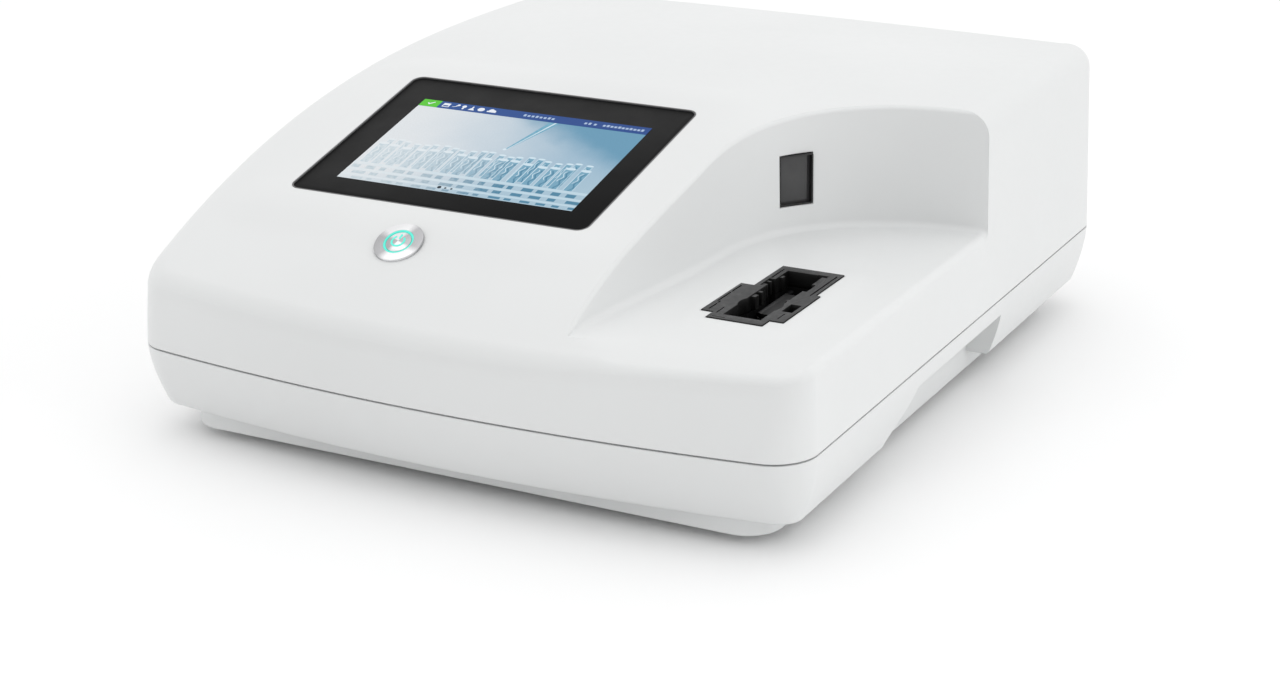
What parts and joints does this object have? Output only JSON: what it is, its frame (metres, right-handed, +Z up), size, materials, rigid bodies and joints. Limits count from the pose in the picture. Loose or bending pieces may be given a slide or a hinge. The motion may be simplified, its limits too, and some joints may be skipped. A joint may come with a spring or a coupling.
{
  "type": "spectrophotometer",
  "caption": "Bench spectrophotometer with a sloping touch display, a lit push button, a cuvette recess at the right and side grips",
  "frame": {"origin": "middle of the case in plan, on the surface that the feet stand on", "axes": "+X to the operator's right, +Y from the front to the back, +Z up"},
  "size_m": [0.2896, 0.34, 0.124],
  "materials": {
    "white_housing": "fine satin texture",
    "rubber_feet": "matt",
    "steel_fasteners": "zinc plated",
    "display_glass": "gloss, black printed border",
    "lcd_metal": "bright",
    "black_plastic": "matt",
    "flat_cable": "satin",
    "button_steel": "satin",
    "light_guide": "translucent, lit",
    "spring_steel": "bright",
    "dark_window": "gloss, dark tint",
    "cast_aluminium": "as cast",
    "lamp_ceramic": "matt",
    "clear_glass": "polished",
    "black_metal": "matt black",
    "motor_steel": "satin",
    "mirror_coating": "front surface",
    "brass_gear": "machined",
    "circuit_board": "solder mask"
  },
  "bodies": {
    "case": {"upper_housing": "white_housing", "lower_housing": "white_housing", "rear_panel": "white_housing", "foot_front_left": "rubber_feet", "foot_front_right": "rubber_feet", "foot_rear_left": "rubber_feet", "foot_rear_right": "rubber_feet", "housing_screw_front_left": "steel_fasteners", "housing_screw_front_right": "steel_fasteners", "housing_screw_rear_left": "steel_fasteners", "housing_screw_rear_right": "steel_fasteners", "display_glass": "display_glass", "lcd_module": "lcd_metal", "display_bracket": "black_plastic", "display_cable": "flat_cable", "button_body": "button_steel", "button_light_ring": "light_guide", "button_nut": "button_steel", "button_switch": "black_plastic", "button_spring": "spring_steel", "cuvette_insert": "black_plastic", "cuvette_well": "black_plastic", "shutter_pin": "spring_steel", "shutter_spring": "spring_steel", "clamp_spring": "spring_steel", "barcode_window": "dark_window", "barcode_reader": "black_plastic", "optics_base": "cast_aluminium", "lamp_heat_sink": "cast_aluminium", "lamp_socket": "lamp_ceramic", "halogen_lamp": "clear_glass", "condenser_mount": "black_metal", "condenser_lens": "clear_glass", "filter_motor": "motor_steel", "entrance_slit": "black_metal", "collimating_mirror": "mirror_coating", "collimating_mirror_mount": "black_metal", "focusing_mirror": "mirror_coating", "focusing_mirror_mount": "black_metal", "grating_motor": "motor_steel", "exit_slit": "black_metal", "exit_lens": "clear_glass", "beam_splitter": "clear_glass", "reference_detector": "black_plastic", "sample_detector": "black_plastic", "optics_cover": "black_metal", "main_board": "circuit_board", "dc_jack": "black_plastic", "usb_port": "lcd_metal", "ethernet_port": "lcd_metal", "fan_frame": "black_plastic"},
    "button": {"button_cap": "button_steel"},
    "shutter": {"cuvette_shutter": "black_plastic"},
    "clamp": {"cuvette_clamp": "black_plastic"},
    "grating": {"grating_table": "motor_steel", "diffraction_grating": "mirror_coating", "sector_gear": "brass_gear"},
    "pinion": {"motor_pinion": "brass_gear"},
    "filter_disc": {"filter_wheel": "black_metal"},
    "fan": {"fan_rotor": "black_plastic"}
  },
  "joints": [
    {"name": "button_press", "type": "slide", "parent": "case", "child": "button", "axis": [0.0117, 0.4822, -0.876], "range_m": [0, 0.0015], "stiffness_N_per_m": 1500, "springref_m": -0.0015, "deforming": ["button_spring"]},
    {"name": "shutter_swing", "type": "hinge", "parent": "case", "child": "shutter", "pos_m": [0.0932, -0.084, 0.0631], "axis": [0, 1, 0], "range_deg": [0, 85], "stiffness_Nm_per_rad": 0.002, "springref_deg": -28.65, "deforming": ["shutter_spring"]},
    {"name": "clamp_press", "type": "slide", "parent": "case", "child": "clamp", "axis": [1, 0, 0], "range_m": [0, 0.0015], "stiffness_N_per_m": 400, "springref_m": -0.0005, "deforming": ["clamp_spring"]},
    {"name": "grating_turn", "type": "hinge", "parent": "case", "child": "grating", "pos_m": [0.02, 0.05, 0.024], "axis": [0, 0, 1], "range_deg": [-20, 20]},
    {"name": "pinion_turn", "type": "hinge", "parent": "case", "child": "pinion", "pos_m": [-0.004, 0.05, 0.024], "axis": [0, 0, 1], "range_deg": [-100, 100]},
    {"name": "filter_wheel_spin", "type": "hinge", "parent": "case", "child": "filter_disc", "pos_m": [-0.014, 0.089, 0.048], "axis": [1, 0, 0], "continuous": true},
    {"name": "fan_spin", "type": "hinge", "parent": "case", "child": "fan", "pos_m": [0, 0.149, 0.067], "axis": [0, 1, 0], "continuous": true}
  ],
  "couplings": [
    {"joint": "pinion_turn", "follows": "grating_turn", "ratio": -5}
  ]
}
